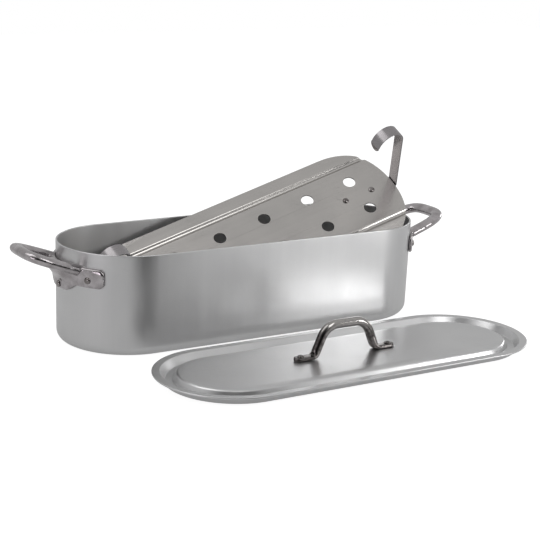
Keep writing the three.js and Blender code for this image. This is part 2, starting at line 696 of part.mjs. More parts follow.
// Bow handle: a round bar, its ends pressed flat into feet.
function bowGeometry() {
  const half = [
    [FOOT_END, FOOT_HALF_THICKNESS],
    [BOW_BASE_HALF, FOOT_HALF_THICKNESS, BOW_FOOT_RADIUS],
    [BOW_TOP_HALF, BOW_TOP, BOW_TOP_RADIUS],
  ];
  const corners = [...half.map(([x, ...rest]) => [-x, ...rest]), ...half.reverse()];
  const centre = roundedPath(corners, 7);
  const rings = [];
  const sides = 14;
  const flatAt = (x) => smooth((Math.abs(x) - (BOW_BASE_HALF - BOW_FOOT_RADIUS)) / BOW_FOOT_RADIUS);
  for (const inset of FOOT_END_STEPS) {
    const at = (side) => new THREE.Vector2(side * (FOOT_END - inset), FOOT_HALF_THICKNESS);
    centre.splice(1, 0, at(-1));
    centre.splice(-1, 0, at(1));
  }
  centre.forEach((point, i) => {
    const tangent = tangentAt(centre, i);
    const flat = flatAt(point.x);
    const fromEnd = FOOT_END - Math.abs(point.x);
    const intoRound = Math.max(FOOT_ROUND - fromEnd, 0) / (FOOT_ROUND + 2);
    const rounding = Math.sqrt(1 - intoRound ** 2);
    const halfWidth = THREE.MathUtils.lerp(BOW_RADIUS, FOOT_HALF_WIDTH, flat) * rounding;
    const halfThick = THREE.MathUtils.lerp(BOW_RADIUS, FOOT_HALF_THICKNESS, flat);
    const ring = [];
    for (let s = 0; s < sides; s += 1) {
      const a = (2 * Math.PI * (s + 0.5)) / sides;
      const power = THREE.MathUtils.lerp(1, 0.45, flat);
      const across = halfWidth * Math.sign(Math.cos(a)) * Math.abs(Math.cos(a)) ** power;
      const up = halfThick * Math.sign(Math.sin(a)) * Math.abs(Math.sin(a)) ** power;
      ring.push(new THREE.Vector3(point.x - tangent.y * up, across, point.y + tangent.x * up));
    }
    rings.push(ring);
  });
  const holes = bowRivets.map((x) => {
    const matrix = new THREE.Matrix4().makeRotationY(-Math.PI / 2);
    return rivetHoleCutter(matrix.setPosition(x, 0, 0), 6 * FOOT_HALF_THICKNESS);
  });
  return cut(loft(rings), holes);
}

const lid = new THREE.Group();
lid.add(piece('lid_shell', lidGeometry(), SPUN_ALUMINIUM));
const bow = piece('lid_handle', bowGeometry(), DARK_STEEL);
bow.position.set(BOW_SHIFT, 0, panelTop + SEAT);
lid.add(bow);
bowRivets.forEach((x) => {
  const name = `lid_rivet_${x < 0 ? 'left' : 'right'}`;
  const one = rivet(name, 2 * FOOT_HALF_THICKNESS + SEAT + LID_SHEET, DARK_STEEL);
  one.position.set(BOW_SHIFT + x, 0, panelTop + SEAT + 2 * FOOT_HALF_THICKNESS);
  one.rotation.y = -Math.PI / 2;
  lid.add(one);
});
lid.position.set(LID_SHIFT, -(PAN_WIDTH / 2 + LID_GAP + lidHalfWidth), 0);
lid.rotation.z = radians(LID_YAW);

const poacher = new THREE.Group();
poacher.add(pan, rack, lid);

export default poacher;
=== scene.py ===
import math

import bmesh
import bpy
from mathutils import Matrix, Vector


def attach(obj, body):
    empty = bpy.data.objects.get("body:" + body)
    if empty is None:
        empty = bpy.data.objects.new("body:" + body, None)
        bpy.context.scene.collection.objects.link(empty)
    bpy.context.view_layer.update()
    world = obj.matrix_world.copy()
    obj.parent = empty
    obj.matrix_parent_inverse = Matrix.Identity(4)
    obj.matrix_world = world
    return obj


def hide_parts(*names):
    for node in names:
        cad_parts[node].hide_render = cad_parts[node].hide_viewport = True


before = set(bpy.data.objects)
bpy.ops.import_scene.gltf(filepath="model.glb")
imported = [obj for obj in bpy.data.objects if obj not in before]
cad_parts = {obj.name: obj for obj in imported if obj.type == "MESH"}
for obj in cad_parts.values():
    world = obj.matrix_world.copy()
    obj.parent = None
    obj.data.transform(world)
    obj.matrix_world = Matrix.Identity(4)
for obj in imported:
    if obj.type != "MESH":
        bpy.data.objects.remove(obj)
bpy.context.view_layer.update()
mm = 0.001
seat = 0.3 * mm  # between a piece and what it rests on


# Pan body. A deep oval pan drawn from one sheet of aluminium: straight wall, rounded base and a
# plain cut rim. Its satin finish keeps faint upright streaks from the drawing, and is duller
# inside, where it was never polished.

pan_half_straight = 195 * mm
pan_radius = 105 * mm
pan_height = 150 * mm
pan_wall = 3 * mm
pan_floor = 3 * mm
pan_draft = 2 * mm
pan_base_radius = 15 * mm
satin_light = (0.62, 0.62, 0.62, 1)
satin_dark = (0.55, 0.55, 0.555, 1)
mark_shade = 0.6  # of the metal's darker tone, in a scratch
grain_depth = 0.2 * mm
lip_radius = 0.9 * mm
rim_trim = 0.2 * mm
floor_middle = 60 * mm  # from the wall to where the floor's rings end and its fan starts
path_step = 1.5 * mm  # from a bend to the next point on a long flat run


def outer_radius_at(z):
    return pan_radius - pan_draft * (pan_height - z) / pan_height


def inner_radius_at(z):
    return outer_radius_at(z) - pan_wall


def oval(half_straight, radius, z, steps=80):
    """A ring with straight sides and half-circle ends, anticlockwise from above."""
    ring = []
    for side in (1, -1):
        for i in range(steps + 1):
            a = math.pi * (i / steps - 0.5)
            along = half_straight + radius * math.cos(a)
            ring.append(Vector((side * along, side * radius * math.sin(a), z)))
    return ring


def rounded(corners, arc_steps=8):
    """A path through corners (x, y, radius), with an arc at each inner one."""
    points = [Vector(corners[0][:2])]
    for before, corner, after in zip(corners, corners[1:], corners[2:]):
        tip = Vector(corner[:2])
        back = (Vector(before[:2]) - tip).normalized()
        on = (Vector(after[:2]) - tip).normalized()
        half = math.acos(max(-1, min(1, back.dot(on)))) / 2
        centre = tip + (back + on).normalized() * (corner[2] / math.sin(half))
        start = tip + back * (corner[2] / math.tan(half)) - centre
        turn = -math.copysign(math.pi - 2 * half, back.x * on.y - back.y * on.x)
        for s in range(arc_steps + 1):
            a = turn * s / arc_steps
            c, d = math.cos(a), math.sin(a)
            points.append(centre + Vector((start.x * c - start.y * d, start.x * d + start.y * c)))
    points.append(Vector(corners[-1][:2]))
    return points


def supported(points, inset):
    """The same path with a point near both ends of every long run, so that flats shade flat."""
    path = [points[0]]
    for a, b in zip(points, points[1:]):
        run = b - a
        if run.length > 3 * inset:
            path += [a + run.normalized() * inset, b - run.normalized() * inset]
        path.append(b)
    return path


def new_piece(name, verts, faces):
    mesh = bpy.data.meshes.new(name)
    mesh.from_pydata([tuple(v) for v in verts], [], faces)
    form = bmesh.new()
    form.from_mesh(mesh)
    bmesh.ops.remove_doubles(form, verts=form.verts, dist=1e-7)
    bmesh.ops.recalc_face_normals(form, faces=form.faces)
    form.to_mesh(mesh)
    form.free()
    mesh.shade_smooth()
    piece = bpy.data.objects.new(name, mesh)
    bpy.context.collection.objects.link(piece)
    return piece


def loft(name, rings):
    """One closed body through rings of points, its ends closed by fans."""
    count = len(rings[0])
    verts = [p for ring in rings for p in ring]
    verts += [sum(rings[0], Vector()) / count, sum(rings[-1], Vector()) / count]
    faces = []
    last = (len(rings) - 1) * count
    for i in range(count):
        j = (i + 1) % count
        for k in range(len(rings) - 1):
            a, b = k * count, (k + 1) * count
            faces.append((a + i, a + j, b + j, b + i))
        faces.append((len(verts) - 2, j, i))
        faces.append((len(verts) - 1, last + i, last + j))
    return new_piece(name, verts, faces)


def sharpen(piece, degrees):
    piece.data.shade_smooth()
    piece.data.set_sharp_from_angle(angle=math.radians(degrees))


def add_node(tree, kind, values=None, **settings):
    node = tree.nodes.new(kind)
    for name, value in settings.items():
        setattr(node, name, value)
    for name, value in (values or {}).items():
        if isinstance(value, bpy.types.NodeSocket):
            tree.links.new(value, node.inputs[name])
        else:
            node.inputs[name].default_value = value
    return node


def new_group(name, inputs, outputs):
    """A shader node group with named sockets, each given as (name, socket type, default)."""
    tree = bpy.data.node_groups.new(name, "ShaderNodeTree")
    for label, kind, value in inputs:
        socket = tree.interface.new_socket(label, in_out="INPUT", socket_type=kind)
        if value is not None:
            socket.default_value = value
    for label, kind in outputs:
        tree.interface.new_socket(label, in_out="OUTPUT", socket_type=kind)
    return tree, tree.nodes.new("NodeGroupInput").outputs


def sheet_grain():
    """Streaks, cloudy tone and fine grain of drawn or rolled aluminium sheet."""
    tree, given = new_group(
        "sheet_grain",
        [
            ("Vector", "NodeSocketVector", None),
            ("Light", "NodeSocketColor", satin_light),
            ("Dark", "NodeSocketColor", satin_dark),
            ("Streak Scale", "NodeSocketVector", (90, 90, 4)),
            ("Streak Share", "NodeSocketFloat", 0.4),
            ("Smooth", "NodeSocketFloat", 0.3),
            ("Rough", "NodeSocketFloat", 0.42),
        ],
        [
            ("Color", "NodeSocketColor"),
            ("Roughness", "NodeSocketFloat"),
            ("Height", "NodeSocketFloat"),
        ],
    )
    stretched = add_node(
        tree, "ShaderNodeVectorMath",
        {0: given["Vector"], 1: given["Streak Scale"]}, operation="MULTIPLY",
    )
    streaks = add_node(
        tree, "ShaderNodeTexNoise",
        {"Vector": stretched.outputs[0], "Scale": 1, "Detail": 4, "Roughness": 0.6},
    )
    clouds = add_node(
        tree, "ShaderNodeTexNoise",
        {"Vector": given["Vector"], "Scale": 9, "Detail": 3, "Distortion": 0.6},
    )
    grain = add_node(
        tree, "ShaderNodeTexNoise",
        {"Vector": given["Vector"], "Scale": 900, "Detail": 2},
    )
    tone = add_node(
        tree, "ShaderNodeMix",
        {0: given["Streak Share"], 2: clouds.outputs[0], 3: streaks.outputs[0]},
    )
    spread = add_node(
        tree, "ShaderNodeMapRange",
        {"Value": tone.outputs[0], "From Min": 0.3, "From Max": 0.7},
    )
    color = add_node(
        tree, "ShaderNodeMix",
        {0: spread.outputs[0], 6: given["Dark"], 7: given["Light"]},
        data_type="RGBA",
    )
    rough = add_node(
        tree, "ShaderNodeMapRange",
        {
            "Value": streaks.outputs[0], "From Min": 0.3, "From Max": 0.7,
            "To Min": given["Smooth"], "To Max": given["Rough"],
        },
    )
    height = add_node(
        tree, "ShaderNodeMath", {0: streaks.outputs[0], 1: grain.outputs[0]}, operation="ADD",
    )
    out = tree.nodes.new("NodeGroupOutput")
    tree.links.new(color.outputs[2], out.inputs["Color"])
    tree.links.new(rough.outputs[0], out.inputs["Roughness"])
    tree.links.new(height.outputs[0], out.inputs["Height"])
    return tree


def handling_marks():
    """Thin scratches in all directions and a few small nicks, as a mask from 0 to 1."""
    tree, given = new_group(
        "handling_marks",
        [
            ("Vector", "NodeSocketVector", None),
            ("Scale", "NodeSocketFloat", 30.0),
            ("Amount", "NodeSocketFloat", 0.5),
        ],
        [("Mask", "NodeSocketFloat")],
    )
    masks = []
    for turn, stretch in ((0.35, 14), (1.9, 22)):
        turned = add_node(
            tree, "ShaderNodeVectorRotate",
            {"Vector": given["Vector"], "Axis": (0.3, 0.2, 0.93), "Angle": turn},
        )
        long = add_node(
            tree, "ShaderNodeVectorMath",
            {0: turned.outputs[0], 1: (1, stretch, stretch)}, operation="MULTIPLY",
        )
        noise = add_node(
            tree, "ShaderNodeTexNoise",
            {
                "Vector": long.outputs[0], "Scale": given["Scale"],
                "Detail": 2, "Distortion": 0.4,
            },
        )
        band = add_node(
            tree, "ShaderNodeMath",
            {0: noise.outputs[0], 1: 0.5, 2: 0.006}, operation="COMPARE",
        )
        where = add_node(
            tree, "ShaderNodeTexNoise",
            {"Vector": turned.outputs[0], "Scale": 22, "Detail": 1},
        )
        some = add_node(
            tree, "ShaderNodeMapRange",
            {"Value": where.outputs[0], "From Min": 0.52, "From Max": 0.62},
        )
        both = add_node(
            tree, "ShaderNodeMath", {0: band.outputs[0], 1: some.outputs[0]}, operation="MULTIPLY",
        )
        masks.append(both.outputs[0])
    nicks = add_node(
        tree, "ShaderNodeTexVoronoi", {"Vector": given["Vector"], "Scale": 22, "Randomness": 1},
    )
    nick = add_node(
        tree, "ShaderNodeMath", {0: nicks.outputs["Distance"], 1: 0.018}, operation="LESS_THAN",
    )
    scratches = add_node(tree, "ShaderNodeMath", {0: masks[0], 1: masks[1]}, operation="MAXIMUM")
    marks = add_node(
        tree, "ShaderNodeMath", {0: scratches.outputs[0], 1: nick.outputs[0]}, operation="MAXIMUM",
    )
    share = add_node(
        tree, "ShaderNodeMath", {0: marks.outputs[0], 1: given["Amount"]}, operation="MULTIPLY",
    )
    out = tree.nodes.new("NodeGroupOutput")
    tree.links.new(share.outputs[0], out.inputs["Mask"])
    return tree


grain_group = sheet_grain()
marks_group = handling_marks()


def bare_metal(name):
    """A metal to be finished: its material, node tree and shader, and each point's own place."""
    material = bpy.data.materials.new(name)
    material.use_nodes = True
    tree = material.node_tree
    metal = tree.nodes["Principled BSDF"]
    metal.inputs["Metallic"].default_value = 1.0
    place = add_node(tree, "ShaderNodeAttribute", attribute_name="own_place").outputs["Vector"]
    return material, tree, metal, place


def finish_metal(tree, metal, color, roughness, normal):
    tree.links.new(color, metal.inputs["Base Color"])
    tree.links.new(roughness, metal.inputs["Roughness"])
    tree.links.new(normal, metal.inputs["Normal"])


def sheet_metal(name, grain, marks, bump=0.1):
    """Sheet metal with its grain and its marks. The marks darken it and are cut into it."""
    material, tree, metal, place = bare_metal(name)
    finish = add_node(tree, "ShaderNodeGroup", node_tree=grain_group)
    wear_and_sheen = add_node(tree, "ShaderNodeGroup", node_tree=marks_group)
    for node, values in ((finish, grain), (wear_and_sheen, marks)):
        tree.links.new(place, node.inputs["Vector"])
        for label, value in values.items():
            node.inputs[label].default_value = value
    dark = add_node(
        tree, "ShaderNodeMix",
        {
            0: wear_and_sheen.outputs["Mask"], 6: finish.outputs["Color"],
            7: (*(mark_shade * c for c in grain["Dark"][:3]), 1),
        },
        data_type="RGBA",
    )
    relief = add_node(
        tree, "ShaderNodeMath",
        {0: finish.outputs["Height"], 1: wear_and_sheen.outputs["Mask"]}, operation="SUBTRACT",
    )
    uneven = add_node(
        tree, "ShaderNodeBump",
        {"Height": relief.outputs[0], "Strength": bump, "Distance": grain_depth},
    )
    finish_metal(tree, metal, dark.outputs[2], finish.outputs["Roughness"], uneven.outputs[0])
    return material


def settle(piece, matrix=Matrix()):
    """Moves the mesh to its place. Each point keeps its place in the piece's own frame."""
    own = piece.data.attributes.new("own_place", "FLOAT_VECTOR", "POINT")
    for vertex, kept in zip(piece.data.vertices, own.data):
        kept.vector = vertex.co
    piece.data.transform(matrix)
    piece.data.update()


def mount(piece, material, body, slot, *nodes):
    """Finishes a piece: its material, the body that it moves with and the nodes it stands for."""
    piece.data.materials.clear()
    piece.data.materials.append(material)
    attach(piece, body)
    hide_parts(*nodes)
    return piece


def pan_profile():
    inner_corner = pan_base_radius - pan_wall
    outer_foot = outer_radius_at(0)
    inner_foot = inner_radius_at(pan_floor)
    outside = rounded([
        (outer_foot - floor_middle, 0),
        (outer_foot, 0, pan_base_radius),
        (outer_radius_at(pan_height) - rim_trim, pan_height, lip_radius),
        (inner_radius_at(pan_height) + rim_trim / 2, pan_height, lip_radius),
        (inner_foot, pan_floor, inner_corner),
        (inner_foot - floor_middle, pan_floor),
    ])
    return supported(outside, path_step)


pan = loft("pan", [oval(pan_half_straight, p.x, p.y) for p in pan_profile()])
satin_aluminium = sheet_metal(
    "satin_aluminium",
    {"Light": satin_light, "Dark": satin_dark, "Streak Scale": (70, 70, 3), "Streak Share": 0.3,
     "Smooth": 0.3, "Rough": 0.38},
    {"Scale": 26, "Amount": 0.14},
    bump=0.12,
)
settle(pan)
mount(pan, satin_aluminium, "pan", "spun_aluminium", "pan_body")
inside_aluminium = sheet_metal(
    "inside_aluminium",
    {"Light": satin_light, "Dark": satin_dark, "Streak Scale": (60, 60, 6), "Streak Share": 0.3,
     "Smooth": 0.38, "Rough": 0.46},
    {"Scale": 26, "Amount": 0.1},
)
pan.data.materials.append(inside_aluminium)
for face in pan.data.polygons:
    x, y, z = face.center
    from_end = math.hypot(max(abs(x) - pan_half_straight, 0), y)
    if pan_floor * 0.9 < z < pan_height - mm and from_end < outer_radius_at(z) - pan_wall / 2:
        face.material_index = 1


# Pan handles. Each is one aluminium casting: a plate that hugs the rounded end, a lobe and a web
# in its middle, and the loop that the web carries. It is polished, and keeps the sand's lumps.

handle_reach = 64.8 * mm
handle_half_width = 43 * mm
handle_power = 2 / 3.6
handle_tilt = math.radians(19.5)
handle_root = pan_height - 25 * mm
grip_width = 20 * mm
grip_thickness = 15 * mm
plate_angle = 46
plate_thickness = 5 * mm
plate_top = pan_height - 22 * mm
plate_height = 28 * mm
lobe_drop = 12 * mm
lobe_angle = 8
lobe_blend = 16
web_reach = 15 * mm
web_foot = pan_height - 49 * mm
plate_edge = 1.6 * mm
plate_corner = 4 * mm
grip_root = 6 * mm  # how far the grip's ends run into the plate
casting_voxel = 1.1 * mm
lump_height = 3 * mm
pit_depth = 0.4 * mm


def smooth_step(x):
    x = max(0, min(1, x))
    return x * x * (3 - 2 * x)


def on_end(angle, radius, z):
    return Vector((pan_half_straight + radius * math.cos(angle), radius * math.sin(angle), z))


def plate_section(angle):
    share = 1 - smooth_step((abs(angle) - lobe_angle) / lobe_blend)
    corner = plate_corner * (1 - smooth_step((plate_angle - abs(angle)) / 3))
    top = plate_top - corner
    bottom = plate_top - plate_height + corner - share * lobe_drop
    face = plate_thickness
    reach = face + share * (web_reach - face)
    section = [
        (0, bottom), (face - plate_edge, bottom), (face, bottom + plate_edge),
        (face, max(web_foot, bottom + plate_edge + mm)),
        (face + (reach - face) * 0.35, web_foot + 6 * mm),
        (face + (reach - face) * 0.8, web_foot + 12 * mm),
        (reach, top - plate_edge - 3 * mm), (reach - plate_edge, top), (0, top),
    ]
    a = math.radians(angle)
    return [on_end(a, outer_radius_at(z) + seat + out, z) for out, z in section]


def loop_rings():
    steps, sides = 60, 20
    path = [Vector((-grip_root, -handle_half_width))]
    for i in range(steps + 1):
        a = math.pi * i / steps
        out = handle_reach * max(math.sin(a), 0) ** handle_power
        across = math.copysign(abs(math.cos(a)) ** handle_power, math.cos(a))
        path.append(Vector((out, -handle_half_width * across)))
    path.append(Vector((-grip_root, handle_half_width)))
    rings = []
    for i, point in enumerate(path):
        along = (path[min(i + 1, len(path) - 1)] - path[max(i - 1, 0)]).normalized()
        ring = []
        for s in range(sides):
            a = 2 * math.pi * s / sides
            side = grip_width / 2 * math.cos(a)
            out = point.x + along.y * side
            across = point.y - along.x * side
            up = grip_thickness / 2 * math.sin(a)
            from_end = out * math.cos(handle_tilt) - up * math.sin(handle_tilt)
            height = handle_root + out * math.sin(handle_tilt) + up * math.cos(handle_tilt)
            ring.append(Vector((pan_half_straight + pan_radius + from_end, across, height)))
        rings.append(ring)
    return rings


def baked(piece, name):
    """The piece's mesh with its modifiers applied, as an object of its own."""
    bpy.context.view_layer.update()
    done = piece.evaluated_get(bpy.context.evaluated_depsgraph_get())
    mesh = bpy.data.meshes.new_from_object(done)
    mesh.name = name
    result = bpy.data.objects.new(name, mesh)
    bpy.context.collection.objects.link(result)
    bpy.data.objects.remove(piece)
    result.name = name
    return result


def cast_handle():
    angles = range(-plate_angle, plate_angle + 1)
    plate = loft("handle_plate", [plate_section(angle) for angle in angles])
    loop = loft("handle_loop", loop_rings())
    form = bmesh.new()
    form.from_mesh(plate.data)
    form.from_mesh(loop.data)
    both = bpy.data.meshes.new("handle_form")
    form.to_mesh(both)
    form.free()
    bpy.data.objects.remove(plate)
    bpy.data.objects.remove(loop)
    rough = bpy.data.objects.new("handle_form", both)
    bpy.context.collection.objects.link(rough)
    fused = rough.modifiers.new("fused", "REMESH")
    fused.mode = "VOXEL"
    fused.voxel_size = casting_voxel
    fillets = rough.modifiers.new("fillets", "SMOOTH")
    fillets.factor = 0.6
    fillets.iterations = 12
    casting = baked(rough, "casting")
    for vertex in casting.data.vertices:
        away = Vector((vertex.co.x - pan_half_straight, vertex.co.y))
        least = outer_radius_at(min(vertex.co.z, pan_height)) + seat
        if away.length < least and away.x > 0:
            away *= least / away.length
            vertex.co.x, vertex.co.y = pan_half_straight + away.x, away.y
    casting.data.shade_smooth()
    return casting


def cast_aluminium(name, dark, light):
    """Polished castings: soft lumps left by the sand, fine pits and a patchy tone."""
    material, tree, metal, place = bare_metal(name)
    lumps = add_node(tree, "ShaderNodeTexNoise", {"Vector": place, "Scale": 62, "Detail": 1.5})
    pits = add_node(tree, "ShaderNodeTexNoise", {"Vector": place, "Scale": 260, "Detail": 3})
    stain = add_node(
        tree, "ShaderNodeTexNoise", {"Vector": place, "Scale": 60, "Detail": 4, "Roughness": 0.6},
    )
    tone = add_node(
        tree, "ShaderNodeMapRange",
        {"Value": stain.outputs[0], "From Min": 0.35, "From Max": 0.65},
    )
    color = add_node(
        tree, "ShaderNodeMix",
        {0: tone.outputs[0], 6: dark, 7: light},
        data_type="RGBA",
    )
    rough = add_node(
        tree, "ShaderNodeMapRange",
        {
            "Value": pits.outputs[0], "From Min": 0.35, "From Max": 0.65,
            "To Min": 0.12, "To Max": 0.25,
        },
    )
    coarse = add_node(
        tree, "ShaderNodeBump",
        {"Height": lumps.outputs[0], "Strength": 0.5, "Distance": lump_height},
    )
    fine = add_node(
        tree, "ShaderNodeBump",
        {
            "Height": pits.outputs[0], "Strength": 0.12, "Distance": pit_depth,
            "Normal": coarse.outputs[0],
        },
    )
    finish_metal(tree, metal, color.outputs[2], rough.outputs[0], fine.outputs[0])
    return material


polished_casting = cast_aluminium("cast_aluminium", (0.32, 0.3, 0.305, 1), (0.48, 0.455, 0.465, 1))
half_turn = Matrix.Rotation(math.pi, 4, "Z")
right_casting = cast_handle()
right_casting.name = "right_casting"
left_casting = bpy.data.objects.new("left_casting", right_casting.data.copy())
bpy.context.collection.objects.link(left_casting)
settle(right_casting)
settle(left_casting, half_turn)
mount(right_casting, polished_casting, "pan", "cast_aluminium", "right_handle")
mount(left_casting, polished_casting, "pan", "cast_aluminium", "left_handle")


# Rivets. Soft aluminium rivets with a domed head outside and a flat tail inside, three through
# each handle's plate, set by hand. One form is repeated at every place.

head_radius = 5 * mm
head_height = 2.8 * mm
tail_radius = 4.2 * mm
tail_height = 1.6 * mm
tail_rounding = 0.8 * mm
shank_radius = 2.5 * mm
outer_rivet_angle = 33
outer_rivet_drop = 39 * mm
middle_rivet_drop = 56 * mm


def rivet_form(name, grip):
    """A rivet on the X axis: its head's seat at the origin, its tail towards -X."""
    dome = [
        (seat + head_height * math.sin(a), head_radius * math.cos(a))
        for a in (math.pi / 2 * i / 10 for i in range(1, 10))
    ]
    profile = [
        (-grip - seat - tail_height, tail_radius - tail_rounding),
        (-grip - seat - tail_height * 0.8, tail_radius - tail_rounding / 4),
        (-grip - seat - tail_height / 2, tail_radius), (-grip - seat, tail_radius),
        (-grip - seat, shank_radius), (seat, shank_radius), (seat, head_radius),
    ] + dome
    rings = []
    for along, radius in profile:
        turns = [2 * math.pi * s / 24 for s in range(24)]
        rings.append([Vector((along, radius * math.cos(t), radius * math.sin(t))) for t in turns])
    return loft(name, rings)


def new_shape_group(name, inputs):
    """A geometry node group with named inputs, each given as (name, socket type)."""
    tree = bpy.data.node_groups.new(name, "GeometryNodeTree")
    for label, kind in inputs:
        tree.interface.new_socket(label, in_out="INPUT", socket_type=kind)
    tree.interface.new_socket("Geometry", in_out="OUTPUT", socket_type="NodeSocketGeometry")
    return tree, tree.nodes.new("NodeGroupInput").outputs


def end_shape_group(tree, shape, finish):
    real = add_node(tree, "GeometryNodeRealizeInstances", {"Geometry": shape})
    done = add_node(
        tree, "GeometryNodeSetMaterial", {"Geometry": real.outputs[0], "Material": finish},
    )
    out = tree.nodes.new("NodeGroupOutput")
    tree.links.new(done.outputs[0], out.inputs["Geometry"])
    return tree


def give_inputs(modifier, values):
    sockets = {item.name: item.identifier for item in modifier.node_group.interface.items_tree}
    for label, value in values.items():
        modifier[sockets[label]] = value


def rivet_tree():
    """Sets a copy of the rivet on every point, turned by the point's stored turn."""
    tree, given = new_shape_group("set_rivets", [
        ("Places", "NodeSocketGeometry"), ("Rivet", "NodeSocketObject"),
        ("Finish", "NodeSocketMaterial"), ("Size", "NodeSocketFloat"),
    ])
    rivet = add_node(tree, "GeometryNodeObjectInfo", {"Object": given["Rivet"]})
    turn = add_node(
        tree, "GeometryNodeInputNamedAttribute", {"Name": "turn"}, data_type="FLOAT_VECTOR",
    )
    euler = add_node(tree, "FunctionNodeEulerToRotation", {0: turn.outputs[0]})
    spots = add_node(tree, "GeometryNodeMeshToPoints", {"Mesh": given["Places"]})
    put = add_node(
        tree, "GeometryNodeInstanceOnPoints",
        {
            "Points": spots.outputs[0], "Instance": rivet.outputs["Geometry"],
            "Rotation": euler.outputs[0], "Scale": given["Size"],
        },
    )
    return end_shape_group(tree, put.outputs[0], given["Finish"])


rivet_nodes = rivet_tree()


def set_rivets(name, form, places, material):
    """All the rivets of one body, from (place, turn) pairs."""
    mesh = bpy.data.meshes.new(name)
    mesh.from_pydata([tuple(place) for place, _ in places], [], [])
    turns = mesh.attributes.new("turn", "FLOAT_VECTOR", "POINT")
    for stored, (_, turn) in zip(turns.data, places):
        stored.vector = turn
    points = bpy.data.objects.new(name, mesh)
    bpy.context.collection.objects.link(points)
    setter = points.modifiers.new("rivets", "NODES")
    setter.node_group = rivet_nodes
    give_inputs(setter, {"Rivet": form, "Finish": material, "Size": 1.0})
    rivets = baked(points, name)
    bpy.data.objects.remove(form)
    sharpen(rivets, 50)
    return rivets


# The rivets get a darker copy of the cast aluminium: this is painted shade, standing in for the
# dark surroundings that their domed heads mirror.
rivet_metal_painted_dark = cast_aluminium("rivet_aluminium_painted_dark", (0.16, 0.145, 0.14, 1), (0.34, 0.32, 0.315, 1))
handle_rivet_spots = [
    (-outer_rivet_angle, pan_height - outer_rivet_drop), (0, pan_height - middle_rivet_drop),
    (outer_rivet_angle, pan_height - outer_rivet_drop),
]
handle_rivet_places = []
for end_turn in (0, math.pi):
    for angle, z in handle_rivet_spots:
        a = math.radians(angle)
        spot = on_end(a, outer_radius_at(z) + seat + plate_thickness, z)
        spot.rotate(Matrix.Rotation(end_turn, 3, "Z"))
        handle_rivet_places.append((spot, (0, 0, a + end_turn)))
handle_rivets = set_rivets(
    "handle_rivets", rivet_form("handle_rivet_form", plate_thickness + seat + pan_wall),
    handle_rivet_places, rivet_metal_painted_dark,
)
settle(handle_rivets)
mount(
    handle_rivets, rivet_metal_painted_dark, "pan", "cast_aluminium",
    *[
        f"{side}_handle_rivet_{place}"
        for side in ("left", "right") for place in ("near", "middle", "far")
    ],
)


# Rack plate. A sheet of aluminium with rounded ends and twelve punched holes. A groove pressed
# along each side stiffens it, and the band outside the groove falls away to the edge. It leans in
# the pan, with its right end up over the rim.

rack_half_length = 269 * mm
rack_half_width = 96 * mm
rack_sheet = 2 * mm
rack_end_depth = 80 * mm
rack_end_power = 2.2
rack_flat_half = 58 * mm
groove_width = 10 * mm
groove_depth = 3.5 * mm
rack_edge_drop = 8.5 * mm
rack_edge_power = 1.4
press_radius = 1.2 * mm
rack_arris = 0.35 * mm
groove_margin = 3 * mm  # beside each groove, with close stations too
least_step = 0.3 * mm
hole_columns = 6
hole_rows = 2
hole_pitch = 81 * mm
hole_row_spacing = 60 * mm
hole_shift = 3.5 * mm  # of the rows' middle, towards the right
hole_radius = 10 * mm
punch_length = 20 * mm
rack_right_end = Vector((271, -16, 206)) * mm
rack_tilt = math.radians(17.51)
rack_roll = math.radians(34.7)
rack_yaw = math.radians(-2.5)
rack_turn = (
    Matrix.Rotation(rack_yaw, 4, "Z")
    @ Matrix.Rotation(-rack_tilt, 4, "Y")
    @ Matrix.Rotation(rack_roll, 4, "X")
)
rack_place = (
    Matrix.Translation(rack_right_end) @ rack_turn @ Matrix.Translation((-rack_half_length, 0, 0))
)


def pressed_top(y):
    groove_end = rack_flat_half + groove_width
    across = abs(y)
    if across <= rack_flat_half:
        return 0
    if across < groove_end:
        return -groove_depth * math.sin(math.pi * (across - rack_flat_half) / groove_width)
    share = (across - groove_end) / (rack_half_width - groove_end)
    return -rack_edge_drop * share ** rack_edge_power


def rack_top(y):
    """The top of the sheet, with the small radius that the press leaves at each bend."""
    reach = min(press_radius, rack_half_width - abs(y))
    samples = [pressed_top(y + reach * (i - 4) / 4) for i in range(9)]
    return sum(samples) / len(samples)


def rack_stations():
    """Places across the sheet, closer at the grooves and towards the edges."""
    edge = [rack_half_width * math.sin(math.pi / 2 * i / 30) for i in range(31)]
    inner = rack_flat_half - groove_margin
    press = [inner + (groove_width + 2 * groove_margin) * i / 32 for i in range(33)]
    half = sorted({round(y, 6) for y in edge + press})
    kept = [half[0]]
    for y in half[1:]:
        if y - kept[-1] > least_step:
            kept.append(y)
    kept[-1] = rack_half_width
    return [-y for y in reversed(kept[1:])] + kept


def rack_blank():
    """The pressed sheet without its holes."""
    straight = rack_half_length - rack_end_depth
    top, bottom = [], []
    for y in rack_stations():
        share = max(0, 1 - (abs(y) / rack_half_width) ** rack_end_power)
        end = straight + rack_end_depth * share ** (1 / rack_end_power)
        z = rack_top(y)
        row = [Vector((-end, y, z)), Vector((end, y, z))]
        top.append(row)
        bottom.append([p - Vector((0, 0, rack_sheet)) for p in row])
    wide, long = len(top), 2
    verts = [p for row in top + bottom for p in row]
    faces = []
    for j in range(wide - 1):
        for i in range(long - 1):
            a = j * long + i
            faces.append((a, a + 1, a + long + 1, a + long))
            b = a + wide * long
            faces.append((b, b + long, b + long + 1, b + 1))
    rim = [(0, i) for i in range(long)] + [(j, long - 1) for j in range(1, wide)]
    rim += [(wide - 1, i) for i in range(long - 2, -1, -1)]
    rim += [(j, 0) for j in range(wide - 2, 0, -1)]
    for (j, i), (k, m) in zip(rim, rim[1:] + rim[:1]):
        a, b = j * long + i, k * long + m
        faces.append((a, a + wide * long, b + wide * long, b))
    return new_piece("rack_blank", verts, faces)


